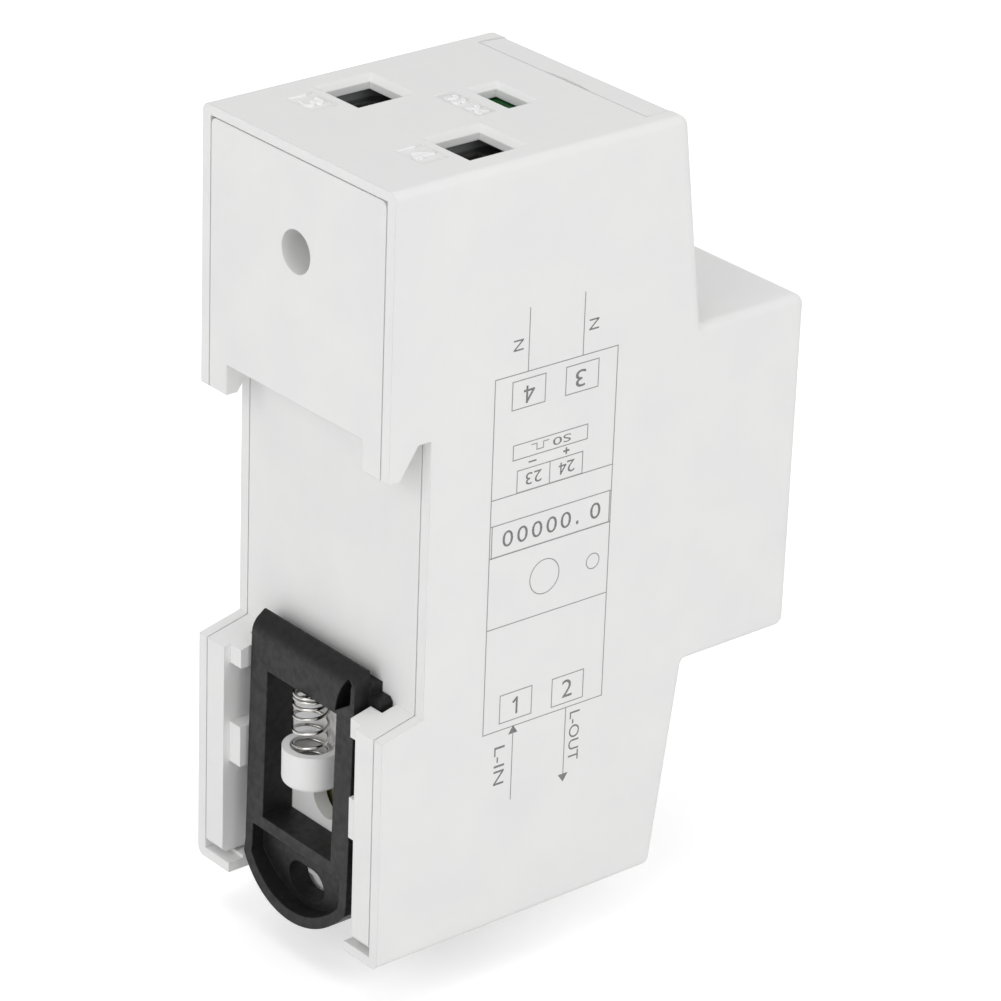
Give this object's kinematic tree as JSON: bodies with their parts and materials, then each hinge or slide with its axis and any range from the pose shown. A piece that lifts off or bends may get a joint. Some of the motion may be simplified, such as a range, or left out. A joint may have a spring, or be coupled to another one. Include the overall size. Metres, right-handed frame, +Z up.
{
  "type": "din rail energy meter",
  "caption": "Two module energy meter for a 35 mm rail: stepped housing, sliding rail catch with spring, display, push button and rising cage terminals.",
  "frame": {"origin": "centre of the rail seat: on the face that lies on the rail, at mid width and half way up the housing", "axes": "+Y points from the display to the rail, +Z up, X across the width with terminals 3 and 2 on the +X side"},
  "size_m": [0.036, 0.065, 0.1015],
  "materials": {
    "white_housing": "fine matt moulding",
    "black_catch": "satin moulding",
    "spring_wire": "drawn wire",
    "clear_window": "clear gloss",
    "display_glass": "gloss",
    "button_grey": "satin moulding",
    "light_pipe": "clear gloss",
    "lamp_white": "gloss",
    "board_olive": "solder resist",
    "grey_inner": "moulded",
    "terminal_green": "moulded",
    "cage_steel": "plated",
    "screw_steel": "plated",
    "copper_bar": "rolled",
    "resistive_strip": "rolled",
    "capacitor_box": "moulded",
    "capacitor_can": "drawn can",
    "varistor_coat": "dipped",
    "ferrite": "sintered",
    "chip_black": "moulded",
    "crystal_can": "drawn can"
  },
  "bodies": {
    "housing": {"bulk_capacitor": "capacitor_can", "button_switch": "chip_black", "choke": "ferrite", "clip_spring": "spring_wire", "crystal": "crystal_can", "display_pcb": "board_olive", "display_window": "clear_window", "film_capacitor": "capacitor_box", "housing_shell": "white_housing", "lcd_frame": "grey_inner", "lcd_glass": "display_glass", "led_light_pipe": "light_pipe", "link_pcb": "board_olive", "lower_carrier": "grey_inner", "lower_cover": "white_housing", "main_pcb": "board_olive", "metering_chip": "chip_black", "neutral_bar": "copper_bar", "optocoupler": "chip_black", "processor_chip": "chip_black", "pulse_block": "terminal_green", "pulse_contact_23": "copper_bar", "pulse_contact_24": "copper_bar", "pulse_led": "lamp_white", "rear_base": "white_housing", "shunt_element": "resistive_strip", "shunt_leg_in": "copper_bar", "shunt_leg_out": "copper_bar", "upper_carrier": "grey_inner", "upper_cover": "white_housing", "varistor": "varistor_coat"},
    "rail_catch": {"din_clip": "black_catch"},
    "button": {"display_button": "button_grey"},
    "terminal_screw_1": {"clamp_screw_1": "screw_steel"},
    "terminal_cage_1": {"clamp_cage_1": "cage_steel"},
    "terminal_screw_2": {"clamp_screw_2": "screw_steel"},
    "terminal_cage_2": {"clamp_cage_2": "cage_steel"},
    "terminal_screw_3": {"clamp_screw_3": "screw_steel"},
    "terminal_cage_3": {"clamp_cage_3": "cage_steel"},
    "terminal_screw_4": {"clamp_screw_4": "screw_steel"},
    "terminal_cage_4": {"clamp_cage_4": "cage_steel"},
    "terminal_screw_23": {"pulse_screw_23": "screw_steel"},
    "terminal_cage_23": {"pulse_cage_23": "cage_steel"},
    "terminal_screw_24": {"pulse_screw_24": "screw_steel"},
    "terminal_cage_24": {"pulse_cage_24": "cage_steel"}
  },
  "joints": [
    {"name": "catch_slide", "type": "slide", "parent": "housing", "child": "rail_catch", "axis": [0, 0, -1], "range_m": [0, 0.005], "stiffness_N_per_m": 600, "springref_m": -0.004, "deforming": ["clip_spring"]},
    {"name": "button_press", "type": "slide", "parent": "housing", "child": "button", "axis": [0, 1, 0], "range_m": [0, 0.0006], "stiffness_N_per_m": 120, "springref_m": -0.001},
    {"name": "cage_rise_1", "type": "slide", "parent": "housing", "child": "terminal_cage_1", "axis": [0, -1, 0], "range_m": [0, 0.0044]},
    {"name": "screw_turn_1", "type": "hinge", "parent": "housing", "child": "terminal_screw_1", "pos_m": [-0.0102, -0.02, -0.042], "axis": [0, 1, 0], "range_deg": [0, 1981]},
    {"name": "cage_rise_2", "type": "slide", "parent": "housing", "child": "terminal_cage_2", "axis": [0, -1, 0], "range_m": [0, 0.0044]},
    {"name": "screw_turn_2", "type": "hinge", "parent": "housing", "child": "terminal_screw_2", "pos_m": [0.0102, -0.02, -0.042], "axis": [0, 1, 0], "range_deg": [0, 1981]},
    {"name": "cage_rise_3", "type": "slide", "parent": "housing", "child": "terminal_cage_3", "axis": [0, -1, 0], "range_m": [0, 0.0044]},
    {"name": "screw_turn_3", "type": "hinge", "parent": "housing", "child": "terminal_screw_3", "pos_m": [0.0102, -0.02, 0.042], "axis": [0, 1, 0], "range_deg": [0, 1981]},
    {"name": "cage_rise_4", "type": "slide", "parent": "housing", "child": "terminal_cage_4", "axis": [0, -1, 0], "range_m": [0, 0.0044]},
    {"name": "screw_turn_4", "type": "hinge", "parent": "housing", "child": "terminal_screw_4", "pos_m": [-0.0102, -0.02, 0.042], "axis": [0, 1, 0], "range_deg": [0, 1981]},
    {"name": "cage_rise_23", "type": "slide", "parent": "housing", "child": "terminal_cage_23", "axis": [0, -1, 0], "range_m": [0, 0.0012]},
    {"name": "screw_turn_23", "type": "hinge", "parent": "housing", "child": "terminal_screw_23", "pos_m": [-0.00195, -0.02, 0.0436], "axis": [0, 1, 0], "range_deg": [0, 1081]},
    {"name": "cage_rise_24", "type": "slide", "parent": "housing", "child": "terminal_cage_24", "axis": [0, -1, 0], "range_m": [0, 0.0012]},
    {"name": "screw_turn_24", "type": "hinge", "parent": "housing", "child": "terminal_screw_24", "pos_m": [0.00155, -0.02, 0.0436], "axis": [0, 1, 0], "range_deg": [0, 1081]}
  ],
  "couplings": [
    {"joint": "screw_turn_1", "follows": "cage_rise_1", "rad_per_m": 7854},
    {"joint": "screw_turn_2", "follows": "cage_rise_2", "rad_per_m": 7854},
    {"joint": "screw_turn_3", "follows": "cage_rise_3", "rad_per_m": 7854},
    {"joint": "screw_turn_4", "follows": "cage_rise_4", "rad_per_m": 7854},
    {"joint": "screw_turn_23", "follows": "cage_rise_23", "rad_per_m": 15708},
    {"joint": "screw_turn_24", "follows": "cage_rise_24", "rad_per_m": 15708}
  ]
}
